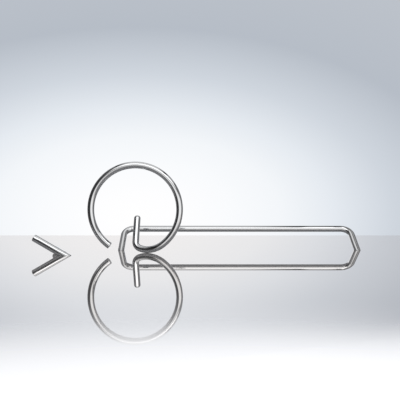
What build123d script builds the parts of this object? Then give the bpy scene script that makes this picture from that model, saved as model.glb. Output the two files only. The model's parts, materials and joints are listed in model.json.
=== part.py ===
from build123d import *
import math
import os

# A set of three bent rods in polished steel, all of one diameter, as they stand
# together on a flat surface: a hanging ring with an arm, a long rail with two
# leaning legs, and a two-legged hook. Millimetres, +Z up, +X along the rail.
# The origin is on the surface, under the middle of the whole set.

# The rod that every piece is made of
ROD_DIAMETER = 12.0
ROD_RADIUS = ROD_DIAMETER / 2

# The footprint that the set fills
SET_LENGTH = 590.0
SET_DEPTH = 153.0

# Rail: a straight bar with a leg at each end. The legs lean towards the front
# and are cut flush with the surface.
RAIL_LEG_SPACING = 450.0
RAIL_BAR_HEIGHT = 38.6
RAIL_LEG_RUN = 44.5
RAIL_BEND_RADIUS = 18.0
RAIL_BAR_Y = SET_DEPTH / 2 - ROD_RADIUS
RAIL_RIGHT_X = SET_LENGTH / 2 - ROD_RADIUS
RAIL_LEFT_X = RAIL_RIGHT_X - RAIL_LEG_SPACING

# Ring: an open circle that stands upright. One end is free and cut square. The
# other turns in through a wide curve and a tight one into an arm that rises
# behind the ring and is rounded at its tip.
RING_RADIUS = 79.0
RING_X = -126.0
RING_Y = -31.5
RING_FREE_END_ANGLE = 235.0
RING_CURVE_START_ANGLE = -50.5
RING_CURVE_RADIUS = 45.0
RING_CURVE_TURN = 60.0
RING_CURVE_BACK_TILT = 22.5
RING_ARM_BEND_RADIUS = 14.0
RING_ARM_BACK_TILT = 20.7
RING_ARM_SIDE_SLOPE = 0.017
RING_ARM_STRAIGHT = 49.5
RING_ARM_TIP_ROUND = 5.0

# Hook: a rising arm and a low leg that meet in a V, ground flush underneath.
HOOK_LEG_LENGTH = 60.0
HOOK_OPENING_ANGLE = 60.0
HOOK_ARM_RISE = 30.0
HOOK_Y = -SET_DEPTH / 2 + ROD_RADIUS


def cosine(degrees):
    return math.cos(math.radians(degrees))


def sine(degrees):
    return math.sin(math.radians(degrees))


def rod_along(path):
    """A round rod with its axis on the path, cut square at both ends."""
    start = Plane(origin=path @ 0, z_dir=path % 0)
    return sweep(start * Circle(ROD_RADIUS), path=path)


def straight_rod(start, direction, length):
    """A straight round rod that starts at a point."""
    base = Plane(origin=start, z_dir=direction)
    return extrude(base * Circle(ROD_RADIUS), amount=length)


def above_surface(rod):
    """The rod with everything under the surface that it stands on cut away."""
    below = Box(2 * SET_LENGTH, 2 * SET_LENGTH, SET_LENGTH, align=(Align.CENTER, Align.CENTER, Align.MAX))
    return rod - below


def arc_from(start, tangent, inward, radius, turn):
    """A circular arc that leaves start along tangent and curves towards inward."""

    def point(angle):
        return start + tangent * (radius * sine(angle)) + inward * (radius * (1 - cosine(angle)))

    return ThreePointArc(start, point(turn / 2), point(turn))


def make_rail():
    """The bar, its two corner bends and its two leaning legs, in one bent rod."""
    run_past_floor = 1.4
    low_z = RAIL_BAR_HEIGHT * (1 - run_past_floor)
    low_y = RAIL_BAR_Y - RAIL_LEG_RUN * run_past_floor
    path = FilletPolyline(
        (RAIL_LEFT_X, low_y, low_z),
        (RAIL_LEFT_X, RAIL_BAR_Y, RAIL_BAR_HEIGHT),
        (RAIL_RIGHT_X, RAIL_BAR_Y, RAIL_BAR_HEIGHT),
        (RAIL_RIGHT_X, low_y, low_z),
        radius=RAIL_BEND_RADIUS,
    )
    return above_surface(rod_along(path))


def ring_curve():
    """The wide curve under the ring: its start, tangents and lowest point,
    all measured from the centre of the ring."""
    start = Vector(cosine(RING_CURVE_START_ANGLE), 0, sine(RING_CURVE_START_ANGLE)) * RING_RADIUS
    tangent = Vector(sine(RING_CURVE_START_ANGLE), 0, -cosine(RING_CURVE_START_ANGLE))
    to_centre = start.normalized() * -1
    inward = to_centre * cosine(RING_CURVE_BACK_TILT) + Vector(0, 1, 0) * sine(RING_CURVE_BACK_TILT)
    lowest_turn = math.degrees(math.atan2(-tangent.Z, inward.Z))
    drop = RING_CURVE_RADIUS * (sine(lowest_turn) * tangent.Z + (1 - cosine(lowest_turn)) * inward.Z)
    return start, tangent, inward, start.Z + drop


def make_ring():
    """The open ring, its wide lower curve, its tight bend and its round-tipped arm."""
    curve_start, tangent, inward, lowest_z = ring_curve()
    centre = Vector(RING_X, RING_Y, ROD_RADIUS - lowest_z)
    upright = Plane(origin=centre, x_dir=(1, 0, 0), z_dir=(0, -1, 0))
    sweep_angle = RING_CURVE_START_ANGLE - RING_FREE_END_ANGLE
    circle = upright * CenterArc((0, 0), RING_RADIUS, RING_FREE_END_ANGLE, sweep_angle)
    curve = arc_from(centre + curve_start, tangent, inward, RING_CURVE_RADIUS, RING_CURVE_TURN)
    incoming = tangent * cosine(RING_CURVE_TURN) + inward * sine(RING_CURVE_TURN)
    arm = Vector(RING_ARM_SIDE_SLOPE, sine(RING_ARM_BACK_TILT), cosine(RING_ARM_BACK_TILT)).normalized()
    turn = incoming.get_angle(arm)
    to_arm = (arm - incoming * incoming.dot(arm)).normalized()
    bend = arc_from(curve @ 1, incoming, to_arm, RING_ARM_BEND_RADIUS, turn)
    straight = Line(bend @ 1, bend @ 1 + arm * RING_ARM_STRAIGHT)
    ring = rod_along(Wire([circle.edge(), curve.edge(), bend.edge(), straight.edge()]))
    tip = straight @ 1
    tip_face = ring.faces().sort_by(lambda face: (face.center() - tip).length)[0]
    return fillet(tip_face.outer_wire().edges(), RING_ARM_TIP_ROUND)


def hook_corner():
    """The point on the surface where the two hook legs meet."""
    reach = HOOK_LEG_LENGTH * cosine(HOOK_ARM_RISE) + ROD_RADIUS * sine(HOOK_ARM_RISE)
    return Vector(-SET_LENGTH / 2 + reach, HOOK_Y, 0)


def hook_arm_direction():
    return Vector(-cosine(HOOK_ARM_RISE), 0, sine(HOOK_ARM_RISE))


def make_hook_arm():
    """The arm that rises to the left, cut flush with the surface at its foot."""
    overrun = ROD_DIAMETER / math.tan(math.radians(HOOK_ARM_RISE))
    direction = hook_arm_direction()
    start = hook_corner() - direction * overrun
    return above_surface(straight_rod(start, direction, HOOK_LEG_LENGTH + overrun))


def make_hook_leg(arm):
    """The low leg that runs back from the arm's foot and rests on its end rim."""
    rise = math.degrees(math.atan2(ROD_RADIUS, HOOK_LEG_LENGTH))
    across = cosine(HOOK_OPENING_ANGLE) - sine(HOOK_ARM_RISE) * sine(rise)
    across = across / cosine(HOOK_ARM_RISE)
    back = math.sqrt(cosine(rise) ** 2 - across**2)
    leg = straight_rod(hook_corner(), Vector(-across, back, sine(rise)), HOOK_LEG_LENGTH)
    return above_surface(leg) - arm


os.makedirs("parts", exist_ok=True)
hook_arm = make_hook_arm()
pieces = {
    "rail": make_rail(),
    "ring": make_ring(),
    "hook_arm": hook_arm,
    "hook_leg": make_hook_leg(hook_arm),
}
for name, piece in pieces.items():
    export_step(piece, f"parts/{name}.step")
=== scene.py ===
import json
import math

import bpy
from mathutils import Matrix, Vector


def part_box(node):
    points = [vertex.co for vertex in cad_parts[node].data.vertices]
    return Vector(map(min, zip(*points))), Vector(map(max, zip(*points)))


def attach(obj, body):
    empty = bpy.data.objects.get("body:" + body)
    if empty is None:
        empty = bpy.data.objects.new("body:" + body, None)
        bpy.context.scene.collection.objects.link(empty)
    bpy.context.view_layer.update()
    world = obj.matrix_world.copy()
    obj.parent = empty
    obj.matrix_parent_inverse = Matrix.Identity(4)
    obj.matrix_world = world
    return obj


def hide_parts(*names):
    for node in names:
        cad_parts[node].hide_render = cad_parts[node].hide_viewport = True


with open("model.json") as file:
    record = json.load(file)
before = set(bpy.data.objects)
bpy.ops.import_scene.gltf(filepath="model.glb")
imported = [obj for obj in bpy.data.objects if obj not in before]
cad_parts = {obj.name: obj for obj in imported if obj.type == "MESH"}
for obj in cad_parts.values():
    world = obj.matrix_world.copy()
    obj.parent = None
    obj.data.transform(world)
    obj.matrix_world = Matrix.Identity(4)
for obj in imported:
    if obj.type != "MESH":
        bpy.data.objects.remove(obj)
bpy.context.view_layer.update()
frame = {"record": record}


# ----------------------------------------------------------------------------
# Polished steel, the one finish of the set. The rods are cold-drawn stainless
# bar, buffed to a mirror: faint draw lines and stray hairlines run over a skin
# that is hazed here and there by handling, and the sawn ends are only linished.
# ----------------------------------------------------------------------------
STEEL_COOL = (0.775, 0.785, 0.800, 1)
STEEL_WARM = (0.835, 0.838, 0.840, 1)
STEEL_HAZED = (0.74, 0.745, 0.75, 1)
STEEL_LINISHED = (0.60, 0.605, 0.61, 1)
STEEL_RUBBED = (0.88, 0.88, 0.88, 1)
RELIEF_DEPTH = 0.000001


class Wire:
    """An output of a node, for use in sums. Each sum adds the Math node it needs."""

    def __init__(self, tree, socket):
        self.tree = tree
        self.socket = socket

    def other(self, name):
        """Another output of the same node."""
        return Wire(self.tree, next(s for s in self.socket.node.outputs if s.name == name and s.enabled))

    def worked(self, operation, *terms):
        vectors = any(isinstance(term, Wire) and term.socket.type == "VECTOR" for term in terms)
        kind = "ShaderNodeVectorMath" if vectors else "ShaderNodeMath"
        if vectors:
            terms = [(term,) * 3 if isinstance(term, (int, float)) else term for term in terms]
        return self.tree.node(kind, {"operation": operation}, dict(enumerate(terms)))

    def __add__(self, term):
        return self.worked("ADD", self, term)

    def __radd__(self, term):
        return self.worked("ADD", term, self)

    def __sub__(self, term):
        return self.worked("SUBTRACT", self, term)

    def __rsub__(self, term):
        return self.worked("SUBTRACT", term, self)

    def __mul__(self, term):
        return self.worked("MULTIPLY", self, term)

    def __rmul__(self, term):
        return self.worked("MULTIPLY", term, self)

    def __truediv__(self, term):
        return self.worked("DIVIDE", self, term)

    def __pow__(self, term):
        return self.worked("POWER", self, term)

    def __abs__(self):
        return self.worked("ABSOLUTE", self)

    def __gt__(self, term):
        return self.worked("GREATER_THAN", self, term)

    def __lt__(self, term):
        return self.worked("LESS_THAN", self, term)


class Tree:
    """A tree of nodes that is built one node at a time."""

    def __init__(self, tree):
        self.tree = tree
        tree.nodes.clear()

    def node(self, kind, settings=None, sockets=None):
        """Makes a node, gives it its settings and then its sockets' values or links."""
        made = self.tree.nodes.new(kind)
        for name, value in (settings or {}).items():
            if name == "stops":
                self.set_stops(made.color_ramp.elements, value)
            elif name == "carries":
                for socket_type, item in value:
                    made.capture_items.new(socket_type, item)
            else:
                setattr(made, name, value)
        for key, value in (sockets or {}).items():
            socket = made.inputs[key] if isinstance(key, int) else self.named(made.inputs, key)
            if isinstance(value, Wire):
                self.tree.links.new(value.socket, socket)
            else:
                socket.default_value = value
        return Wire(self, next(s for s in made.outputs if s.enabled)) if made.outputs else None

    def named(self, sockets, name):
        return next(s for s in sockets if s.name == name and s.enabled)

    def set_stops(self, elements, stops):
        """Sets a colour ramp's stops, each a place and a colour or a grey."""
        while len(elements) < len(stops):
            elements.new(1.0)
        for element, (place, tone) in zip(elements, stops):
            element.position = place
            element.color = (*tone, 1) if isinstance(tone, tuple) else (tone, tone, tone, 1)

    def parts_of(self, vector):
        split = self.node("ShaderNodeSeparateXYZ", {}, {"Vector": vector})
        return split.other("X"), split.other("Y"), split.other("Z")

    def noise(self, vector, scale, detail=2.0, rough=0.5):
        return self.node(
            "ShaderNodeTexNoise",
            {"normalize": True},
            {"Vector": vector, "Scale": scale, "Detail": detail, "Roughness": rough},
        )

    def blend(self, factor, low, high):
        """Between two colours, by a factor from 0 to 1."""
        sockets = {"Factor": factor, "A": low, "B": high}
        return self.node("ShaderNodeMix", {"data_type": "RGBA"}, sockets)

    def eased(self, value, low, high):
        """0 below low, 1 above high, and smooth in between."""
        settings = {"interpolation_type": "SMOOTHSTEP"}
        sockets = {"Value": value, "From Min": low, "From Max": high}
        return self.node("ShaderNodeMapRange", settings, sockets)


def polished_steel(name, offset):
    """Mirror-buffed stainless bar. Offset moves the pattern, so that no two pieces match."""
    steel = bpy.data.materials.new(name)
    steel.use_nodes = True
    tree = Tree(steel.node_tree)
    skin = tree.node("ShaderNodeAttribute", {"attribute_name": "unbent"}).other("Vector") + offset
    cut = tree.node("ShaderNodeAttribute", {"attribute_name": "cut_face"}).other("Fac")
    rim = tree.node("ShaderNodeAttribute", {"attribute_name": "worn_edge"}).other("Fac")

    draw_lines = tree.noise(skin * (1, 1, 0.012), 2600, 3.0)
    buffing = tree.noise(skin * (1, 1, 0.35), 95, 2.0)
    haze = tree.eased(tree.noise(skin, 38, 4.0, 0.6), 0.42, 0.72)
    turned = tree.node(
        "ShaderNodeVectorRotate",
        {"rotation_type": "EULER_XYZ"},
        {"Vector": skin, "Rotation": (0.5, 0.9, 0.2)},
    )
    hairline_a = tree.eased(tree.noise(turned * (1, 0.02, 1), 1500, 1.0), 0.70, 0.78)
    hairline_b = tree.eased(tree.noise(skin * (1, 0.03, 0.7), 1200, 1.0), 0.71, 0.79)
    worn_patch = tree.eased(tree.noise(skin, 17, 2.0), 0.45, 0.65)
    hairlines = (hairline_a + hairline_b) * worn_patch
    linishing = tree.noise(skin * (1, 0.02, 1), 5200, 2.0)

    tint = tree.blend(buffing, STEEL_COOL, STEEL_WARM)
    tint = tree.blend(haze * 0.35, tint, STEEL_HAZED)
    tint = tree.blend(cut * (0.35 + linishing * 0.4), tint, STEEL_LINISHED)
    tint = tree.blend(rim * 0.4, tint, STEEL_RUBBED)

    skin_roughness = 0.025 + haze * 0.045 + draw_lines * 0.025 + hairlines * 0.14 + rim * 0.08
    roughness = skin_roughness + cut * (0.20 + linishing * 0.16)

    height = draw_lines * 0.12 + buffing * 0.8 - hairlines * 0.4 + cut * linishing * 4.0
    sockets = {"Strength": 1.0, "Distance": RELIEF_DEPTH, "Height": height}
    relief = tree.node("ShaderNodeBump", {}, sockets)
    shader = tree.node(
        "ShaderNodeBsdfPrincipled",
        {},
        {"Base Color": tint, "Metallic": 1.0, "Roughness": roughness, "Normal": relief},
    )
    tree.node("ShaderNodeOutputMaterial", {}, {"Surface": shader})
    return steel


# ----------------------------------------------------------------------------
# Rail: one length of round bar with a right-angled bend at each end. Its legs
# lean towards the front, and their feet are ground flush with the surface.
# ----------------------------------------------------------------------------
arm_mount = next(mount for mount in frame["record"]["mounts"] if mount["name"] == "ring_arm")
ROD_RADIUS = arm_mount["dims"]["r_mm"] / 1000
EDGE_ROUND = 0.0004
TIP_ROUND = 0.005
ROD_SIDES = 96
BEND_STEP = math.radians(1.5)
STRAIGHT_STEP = 0.012
RAIL_LEG_RUN = 0.0445
RAIL_BEND_RADIUS = 0.018
BACK = Vector((0, 1, 0))
RIGHT = Vector((1, 0, 0))


class Centreline:
    """The middle line of a rod as it is bent. Each move goes on from where the last one ended."""

    def __init__(self, start, heading):
        self.points = [start]
        self.first_heading = heading.normalized()
        self.heading = self.first_heading

    def straight(self, length):
        steps = max(1, int(length / STRAIGHT_STEP))
        start = self.points[-1]
        self.points += [start + self.heading * (length * i / steps) for i in range(1, steps + 1)]
        return self

    def bend(self, radius, turn, towards):
        """A round bend by an angle, in the plane of the heading and the side it turns towards."""
        start = self.points[-1]
        ahead = self.heading
        side = (towards - ahead * towards.dot(ahead)).normalized()
        steps = math.ceil(turn / BEND_STEP)
        for i in range(1, steps + 1):
            angle = turn * i / steps
            along = ahead * (radius * math.sin(angle))
            self.points.append(start + along + side * (radius * (1 - math.cos(angle))))
        self.heading = ahead * math.cos(turn) + side * math.sin(turn)
        return self


def rounded_end(end, inward, finish):
    """Rings that round off an end, from its face inwards: places, shares of the full radius, and
    how worn the edge is. A flush end is cut level with the surface, whatever its lean."""
    slope = inward.z if finish == "flush" else 1.0
    round_off = TIP_ROUND if finish == "round" else EDGE_ROUND
    steps = 12 if finish == "round" else 3
    rings = []
    for i in range(steps + 1):
        angle = math.radians(90 * (1 - i / steps))
        depth = round_off * (1 - math.sin(angle))
        shrink = round_off * (1 - math.cos(angle))
        worn = float(i < steps and finish != "round")
        rings.append((end + inward * (depth / slope), 1 - shrink / ROD_RADIUS, worn))
    return rings


def bent_rod_tree():
    """Sweeps a round section along a path, grinds its feet level and marks its cut faces."""
    group = bpy.data.node_groups.new("bent_rod", "GeometryNodeTree")
    kinds = {
        "Path": "NodeSocketGeometry",
        "Rod Radius": "NodeSocketFloat",
        "Sides": "NodeSocketInt",
        "Edge Round": "NodeSocketFloat",
        "Steel": "NodeSocketMaterial",
    }
    for name, kind in kinds.items():
        group.interface.new_socket(name, in_out="INPUT", socket_type=kind)
    group.interface.new_socket("Rod", in_out="OUTPUT", socket_type="NodeSocketGeometry")
    tree = Tree(group)
    given = tree.node("NodeGroupInput")

    path = tree.node("GeometryNodeMeshToCurve", {}, {"Mesh": given.other("Path")})
    place = tree.node("GeometryNodeInputPosition")
    place_z = tree.parts_of(place)[2]
    path = tree.node(
        "GeometryNodeCaptureAttribute",
        {"carries": [("VECTOR", "Axis"), ("FLOAT", "Height"), ("FLOAT", "Along")]},
        {
            "Geometry": path,
            "Axis": tree.node("GeometryNodeInputTangent"),
            "Height": place_z,
            "Along": tree.node("GeometryNodeSplineParameter").other("Length"),
        },
    )
    axis, height, along = path.other("Axis"), path.other("Height"), path.other("Along")
    section = tree.node(
        "GeometryNodeCurvePrimitiveCircle",
        {},
        {"Resolution": given.other("Sides"), "Radius": given.other("Rod Radius")},
    )
    section = tree.node(
        "GeometryNodeCaptureAttribute",
        {"carries": [("VECTOR", "Round")]},
        {"Geometry": section, "Round": place},
    )
    thickness = tree.node("GeometryNodeInputNamedAttribute", {}, {"Name": "thickness"})
    rod = tree.node(
        "GeometryNodeCurveToMesh",
        {},
        {"Curve": path, "Profile Curve": section, "Scale": thickness, "Fill Caps": True},
    )

    slide = axis * ((height - place_z) / tree.parts_of(axis)[2])
    near_surface = height < given.other("Edge Round") * 1.01
    sockets = {"Geometry": rod, "Selection": near_surface, "Offset": slide}
    rod = tree.node("GeometryNodeSetPosition", {}, sockets)

    round_x, round_y, _ = tree.parts_of(section.other("Round"))
    unbent = tree.node("ShaderNodeCombineXYZ", {}, {"X": round_x, "Y": round_y, "Z": along})
    rod = tree.node(
        "GeometryNodeStoreNamedAttribute",
        {"data_type": "FLOAT_VECTOR", "domain": "POINT"},
        {"Geometry": rod, "Name": "unbent", "Value": unbent},
    )
    end_face = tree.node("GeometryNodeInputMeshFaceNeighbors").other("Vertex Count") > 4
    rod = tree.node(
        "GeometryNodeStoreNamedAttribute",
        {"data_type": "FLOAT", "domain": "FACE"},
        {"Geometry": rod, "Name": "cut_face", "Value": end_face},
    )
    rod = tree.node("GeometryNodeSetShadeSmooth", {}, {"Geometry": rod, "Shade Smooth": True})
    sockets = {"Geometry": rod, "Selection": end_face, "Shade Smooth": False}
    rod = tree.node("GeometryNodeSetShadeSmooth", {}, sockets)
    rod = tree.node("GeometryNodeRealizeInstances", {}, {"Geometry": rod})
    rod = tree.node("GeometryNodeSetMaterial", {}, {"Geometry": rod, "Material": given.other("Steel")})
    tree.node("NodeGroupOutput", {}, {"Rod": rod})
    return group


rod_tree = bent_rod_tree()


def bent_rod(name, line, first_end, last_end, steel):
    """A rod on a centreline, as a plain mesh. Each end is "sawn", "flush" or "round"."""
    rings = rounded_end(line.points[0], line.first_heading, first_end)
    rings += [(point, 1.0, 0.0) for point in line.points[1:-1]]
    rings += reversed(rounded_end(line.points[-1], -line.heading, last_end))
    places, shares, wear = zip(*rings)
    path = bpy.data.meshes.new(name + "_path")
    path.from_pydata(places, [(i, i + 1) for i in range(len(rings) - 1)], [])
    path.attributes.new("thickness", "FLOAT", "POINT").data.foreach_set("value", shares)
    path.attributes.new("worn_edge", "FLOAT", "POINT").data.foreach_set("value", wear)
    rod = bpy.data.objects.new(name, path)
    bpy.context.scene.collection.objects.link(rod)
    modifier = rod.modifiers.new("bent_rod", "NODES")
    modifier.node_group = rod_tree
    chosen = {"Rod Radius": ROD_RADIUS, "Sides": ROD_SIDES, "Edge Round": EDGE_ROUND, "Steel": steel}
    for item in rod_tree.interface.items_tree:
        if item.in_out == "INPUT" and item.name in chosen:
            modifier[item.identifier] = chosen[item.name]
    view = bpy.context.evaluated_depsgraph_get()
    swept = bpy.data.meshes.new_from_object(rod.evaluated_get(view))
    rod.modifiers.clear()
    rod.data = swept
    swept.name = name
    bpy.data.meshes.remove(path)
    return rod


rail_low, rail_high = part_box("rail")
left_foot_x = rail_low.x + ROD_RADIUS
right_foot_x = rail_high.x - ROD_RADIUS
bar_y = rail_high.y - ROD_RADIUS
bar_z = rail_high.z - ROD_RADIUS
leg = Vector((0, RAIL_LEG_RUN, bar_z))
rail_line = Centreline(Vector((left_foot_x, bar_y - RAIL_LEG_RUN, 0)), leg)
rail_line.straight(leg.length - RAIL_BEND_RADIUS)
rail_line.bend(RAIL_BEND_RADIUS, math.radians(90), RIGHT)
rail_line.straight(right_foot_x - left_foot_x - 2 * RAIL_BEND_RADIUS)
rail_line.bend(RAIL_BEND_RADIUS, math.radians(90), -leg)
rail_line.straight(leg.length - RAIL_BEND_RADIUS)
rail_steel = polished_steel("rail_steel", (0, 0, 0))
rail = bent_rod("polished_rail", rail_line, "flush", "flush", rail_steel)
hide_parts("rail")
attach(rail, "rail")


# ----------------------------------------------------------------------------
# Ring: an open ring of the same bar. Its free end is sawn square. The other end
# is rolled inwards through a wide curve and a tight bend to an arm behind it,
# whose tip is turned round.
# ----------------------------------------------------------------------------
RING_RADIUS = 0.079
RING_FREE_END = math.radians(235)
RING_CURVE_START = math.radians(-50.5)
WIDE_CURVE_RADIUS = 0.045
WIDE_CURVE_TURN = math.radians(60)
WIDE_CURVE_BACK_TILT = math.radians(22.5)
ARM_BEND_RADIUS = 0.014
ARM_BACK_TILT = math.radians(20.7)
ARM_SIDE_SLOPE = 0.017
ARM_STRAIGHT = 0.0495

ring_low, ring_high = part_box("ring")
outside = RING_RADIUS + ROD_RADIUS
ring_centre = Vector((ring_high.x - outside, ring_low.y + ROD_RADIUS, ring_high.z - outside))


def around_ring(angle):
    """From the ring's centre to its middle line, with the angle from the right, anticlockwise."""
    return Vector((math.cos(angle), 0, math.sin(angle))) * RING_RADIUS


free_end = around_ring(RING_FREE_END)
ring_line = Centreline(ring_centre + free_end, free_end.cross(-BACK))
ring_line.bend(RING_RADIUS, RING_FREE_END - RING_CURVE_START, -free_end)
to_centre = -around_ring(RING_CURVE_START).normalized()
curve_side = to_centre * math.cos(WIDE_CURVE_BACK_TILT) + BACK * math.sin(WIDE_CURVE_BACK_TILT)
ring_line.bend(WIDE_CURVE_RADIUS, WIDE_CURVE_TURN, curve_side)
arm = Vector((ARM_SIDE_SLOPE, math.sin(ARM_BACK_TILT), math.cos(ARM_BACK_TILT))).normalized()
ring_line.bend(ARM_BEND_RADIUS, ring_line.heading.angle(arm), arm)
ring_line.straight(ARM_STRAIGHT)
ring_steel = polished_steel("ring_steel", (0.3, 0.1, 0.7))
ring = bent_rod("polished_ring", ring_line, "sawn", "round", ring_steel)
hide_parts("ring")
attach(ring, "ring")


# ----------------------------------------------------------------------------
# Hook: two short lengths of the bar that meet in a sharp V. The arm rises to the
# left from its flush foot. The leg is notched round the arm's foot, silver-
# soldered there, ground flat underneath, and rests on the rim of its far end.
# ----------------------------------------------------------------------------
HOOK_LEG_LENGTH = 0.060
HOOK_OPENING = math.radians(60)
HOOK_ARM_RISE = math.radians(30)

hook_low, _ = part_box("hook_arm")
hook_reach = HOOK_LEG_LENGTH * math.cos(HOOK_ARM_RISE) + ROD_RADIUS * math.sin(HOOK_ARM_RISE)
corner = Vector((hook_low.x + hook_reach, hook_low.y + ROD_RADIUS, 0))
arm_way = Vector((-math.cos(HOOK_ARM_RISE), 0, math.sin(HOOK_ARM_RISE)))
leg_rise = math.atan2(ROD_RADIUS, HOOK_LEG_LENGTH)
leg_across = math.cos(HOOK_OPENING) - math.sin(HOOK_ARM_RISE) * math.sin(leg_rise)
leg_across = leg_across / math.cos(HOOK_ARM_RISE)
leg_back = math.sqrt(math.cos(leg_rise) ** 2 - leg_across ** 2)
leg_way = Vector((-leg_across, leg_back, math.sin(leg_rise)))
hook_steel = polished_steel("hook_steel", (0.6, 0.5, 0.2))

arm_line = Centreline(corner, arm_way).straight(HOOK_LEG_LENGTH)
hook_arm = bent_rod("polished_hook_arm", arm_line, "flush", "sawn", hook_steel)
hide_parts("hook_arm")
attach(hook_arm, "hook")


def notch_depth(spoke):
    """How far along the leg its skin comes out of the arm, for a spoke of its start ring."""
    spoke_across = spoke.cross(arm_way)
    leg_turn = leg_way.cross(arm_way)
    half = spoke_across.dot(leg_turn)
    excess = spoke_across.length_squared - ROD_RADIUS ** 2
    return (math.sqrt(half ** 2 - leg_turn.length_squared * excess) - half) / leg_turn.length_squared


leg_line = Centreline(corner, leg_way).straight(HOOK_LEG_LENGTH)
hook_leg = bent_rod("polished_hook_leg", leg_line, "sawn", "sawn", hook_steel)
for vertex in hook_leg.data.vertices:
    spoke = vertex.co - corner
    if spoke.dot(leg_way) < EDGE_ROUND * 1.01:
        spoke -= leg_way * spoke.dot(leg_way)
        vertex.co = corner + spoke + leg_way * notch_depth(spoke)
    vertex.co.z = max(vertex.co.z, 0)
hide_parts("hook_leg")
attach(hook_leg, "hook")


# ----------------------------------------------------------------------------
# Studio: a floor of pale glossy acrylic let into a matt table, with a painted glow
# that only the camera sees and a painted shade, a darker grey, that the steel sees;
# a backdrop that fades to a cool grey, and four soft boxes: a large key over the
# camera, a dimmer one overhead, a fill on the right and a low one that stands close by.
# ----------------------------------------------------------------------------
FLOOR_HALF_WIDTH = 3.0
FLOOR_FRONT = -3.0
FLOOR_BACK = 0.48
FLOOR_GAP = 0.00005
# Floor colours: the camera sees the pale body with a painted glow on top; the darker grey is painted
# shade, which the steel sees in its reflections.
FLOOR_BODY = (0.85, 0.85, 0.86, 1)
FLOOR_PAINTED_SHADE = (0.42, 0.42, 0.43, 1)
FLOOR_GLOSS = (0.898, 0.872, 0.858, 1)
FLOOR_PAINTED_GLOW = (0.42, 0.425, 0.44, 1)
SHEET_SIDE_EDGE = (0.46, 0.60)
SHEET_FRONT_EDGE = (-0.65, -0.50)
SHEET_SPREAD = 0.3
CLOTH_FADE_START = 0.45
BLACK = (0, 0, 0, 1)
WHITE = (1, 1, 1, 1)


def stage_panel(name, corners, material):
    mesh = bpy.data.meshes.new(name)
    mesh.from_pydata(corners, [], [range(4)])
    mesh.materials.append(material)
    panel = bpy.data.objects.new(name, mesh)
    bpy.context.scene.collection.objects.link(panel)
    return panel


def glossy_floor():
    """A sheet of pale acrylic let into a matt table: nearly a mirror at a low angle, and pale and plain
    from above, with a painted glow that only the camera sees. The steel sees it as a darker grey:
    painted shade, a shaded copy of the floor."""
    acrylic = bpy.data.materials.new("glossy_floor")
    acrylic.use_nodes = True
    tree = Tree(acrylic.node_tree)
    facing = tree.node("ShaderNodeLayerWeight", {}, {"Blend": 0.5}).other("Facing")
    seen = tree.node("ShaderNodeLightPath").other("Is Camera Ray")
    across, back, _ = tree.parts_of(tree.node("ShaderNodeTexCoord").other("Object"))
    sheet = 1 - tree.eased(abs(across) - back * SHEET_SPREAD, *SHEET_SIDE_EDGE)
    sheet = sheet * tree.eased(back, *SHEET_FRONT_EDGE)
    mirror = tree.eased(facing, 0.62, 0.82) * sheet * 0.96 * seen
    mirror = mirror + tree.eased(facing, 0.55, 0.85) * 0.94 * (1 - seen)
    # Painted light: the camera sees the pale body with a painted glow added; rays from the steel see the
    # darker grey, a painted shade of the same floor.
    body = tree.node("ShaderNodeBsdfDiffuse", {}, {"Color": tree.blend(seen, FLOOR_PAINTED_SHADE, FLOOR_BODY)})
    painted_glow = tree.node("ShaderNodeEmission", {}, {"Color": tree.blend(seen, BLACK, FLOOR_PAINTED_GLOW)})
    body = tree.node("ShaderNodeAddShader", {}, {0: body, 1: painted_glow})
    gloss = tree.node("ShaderNodeBsdfGlossy", {}, {"Color": FLOOR_GLOSS, "Roughness": 0.0})
    mixed = tree.node("ShaderNodeMixShader", {}, {0: mirror, 1: body, 2: gloss})
    tree.node("ShaderNodeOutputMaterial", {}, {"Surface": mixed})
    return acrylic


def soft_box(name, azimuth, elevation, distance, size, brightness):
    """A cloth that faces the set from a direction, is lit on that side only, and fades at its
    edges. The camera doesn't see it. The azimuth is from the front towards the right."""
    width, height = size
    turn, lift = math.radians(azimuth), math.radians(elevation)
    away = Vector((math.sin(turn) * math.cos(lift), -math.cos(turn) * math.cos(lift), math.sin(lift)))
    across = Vector((math.cos(turn), math.sin(turn), 0))
    upward = away.cross(across)
    centre = away * distance
    cloth = bpy.data.materials.new(name)
    cloth.use_nodes = True
    tree = Tree(cloth.node_tree)
    place = tree.node("ShaderNodeTexCoord").other("Object") - tuple(centre)
    fade = 1.0
    for way, span in ((across, width), (upward, height)):
        sockets = {0: place, 1: way}
        offset = tree.node("ShaderNodeVectorMath", {"operation": "DOT_PRODUCT"}, sockets)
        offset = abs(offset.other("Value")) / (span / 2)
        fade = fade * (1 - tree.eased(offset, CLOTH_FADE_START, 1.0))
    tone = tree.blend(fade, BLACK, WHITE)
    light = tree.node("ShaderNodeEmission", {}, {"Color": tone, "Strength": brightness})
    behind = tree.node("ShaderNodeNewGeometry").other("Backfacing")
    clear = tree.node("ShaderNodeBsdfTransparent")
    cloth_face = tree.node("ShaderNodeMixShader", {}, {0: behind, 1: light, 2: clear})
    tree.node("ShaderNodeOutputMaterial", {}, {"Surface": cloth_face})
    sides = ((1, -1), (-1, -1), (-1, 1), (1, 1))
    corners = [centre + across * (width / 2 * i) + upward * (height / 2 * j) for i, j in sides]
    stage_panel(name, corners, cloth).visible_camera = False


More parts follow.
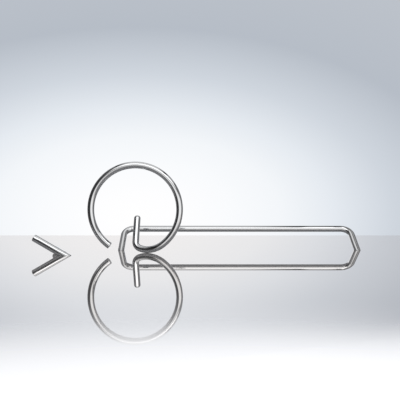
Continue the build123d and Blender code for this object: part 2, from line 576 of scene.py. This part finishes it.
floor_corners = [
    (-FLOOR_HALF_WIDTH, FLOOR_FRONT, -FLOOR_GAP),
    (FLOOR_HALF_WIDTH, FLOOR_FRONT, -FLOOR_GAP),
    (FLOOR_HALF_WIDTH, FLOOR_BACK, -FLOOR_GAP),
    (-FLOOR_HALF_WIDTH, FLOOR_BACK, -FLOOR_GAP),
]
stage_panel("floor", floor_corners, glossy_floor())
soft_box("key_soft_box", azimuth=8, elevation=44, distance=1.2, size=(2.2, 1.8), brightness=1.6)
soft_box("overhead_soft_box", azimuth=-90, elevation=85, distance=0.75, size=(0.8, 0.9), brightness=0.8)
soft_box("right_soft_box", azimuth=95, elevation=52, distance=1.2, size=(1.2, 0.45), brightness=0.45)
soft_box("low_soft_box", azimuth=19, elevation=10, distance=0.55, size=(1.3, 0.52), brightness=1.0)

GLOW_SIDE = -0.14
GLOW_UP = -0.02
GLOW_STRETCH = 1.8
BACKDROP_SIDE_EDGE = (0.48, 0.56)
BACKDROP_TOP_EDGE = (0.52, 0.62)
DARK_LEFT_WALL = (0.04, 0.04, 0.042, 1)
RIGHT_WALL = (0.23, 0.23, 0.235, 1)
WALL_BEHIND_BACKDROP = (0.16, 0.16, 0.165, 1)
CEILING = (0.27, 0.27, 0.275, 1)

world = bpy.data.worlds.new("studio")
world.use_nodes = True
bpy.context.scene.world = world
air = Tree(world.node_tree)
look = air.node("ShaderNodeTexCoord").other("Generated")
look_x, look_y, look_z = air.parts_of(look)
depth = abs(look_y) + 0.001
side = look_x / depth
rise = look_z / depth
from_glow = (((side - GLOW_SIDE) / GLOW_STRETCH) ** 2 + (rise - GLOW_UP) ** 2) ** 0.5
backdrop = air.node(
    "ShaderNodeValToRGB",
    {
        "stops": [
            (0.00, (1.00, 1.00, 1.00)),
            (0.05, (0.99, 0.99, 1.00)),
            (0.12, (0.95, 0.965, 0.985)),
            (0.178, (0.90, 0.925, 0.955)),
            (0.24, (0.79, 0.83, 0.88)),
            (0.315, (0.63, 0.675, 0.735)),
            (0.42, (0.47, 0.51, 0.57)),
            (1.00, (0.60, 0.62, 0.65)),
        ]
    },
    {"Fac": from_glow},
)
lit_width = 1 - air.eased(abs(side), *BACKDROP_SIDE_EDGE)
lit_height = 1 - air.eased(rise, *BACKDROP_TOP_EDGE)
on_backdrop = lit_width * lit_height * (look_y > 0)
walls = air.blend(air.eased(look_x, 0.6, 1.0), DARK_LEFT_WALL, RIGHT_WALL)
walls = air.blend(air.eased(look_y, 0.0, 0.5), walls, WALL_BEHIND_BACKDROP)
walls = air.blend(air.eased(look_z, 0.45, 0.7) * (look_y > 0), walls, CEILING)
studio = air.blend(on_backdrop, walls, backdrop)
seen = air.node("ShaderNodeLightPath").other("Is Camera Ray")
light = air.node("ShaderNodeBackground", {}, {"Color": air.blend(seen, studio, backdrop)})
air.node("ShaderNodeOutputWorld", {}, {"Surface": light})

CAMERA_PLACE = Vector((-0.0107, -0.8325, 0.0813))
CAMERA_LENS = 40.5
CAMERA_SENSOR = 36
CAMERA_SHIFT = 0.01875
CAMERA_NEAREST = 0.01

lens = bpy.data.cameras.new("camera")
lens.lens = CAMERA_LENS
lens.sensor_width = CAMERA_SENSOR
lens.shift_y = CAMERA_SHIFT
lens.clip_start = CAMERA_NEAREST
camera = bpy.data.objects.new("camera", lens)
camera.location = CAMERA_PLACE
camera.rotation_euler = (math.radians(90), 0, 0)
bpy.context.scene.collection.objects.link(camera)
bpy.context.scene.camera = camera
bpy.context.scene.view_settings.view_transform = "Standard"
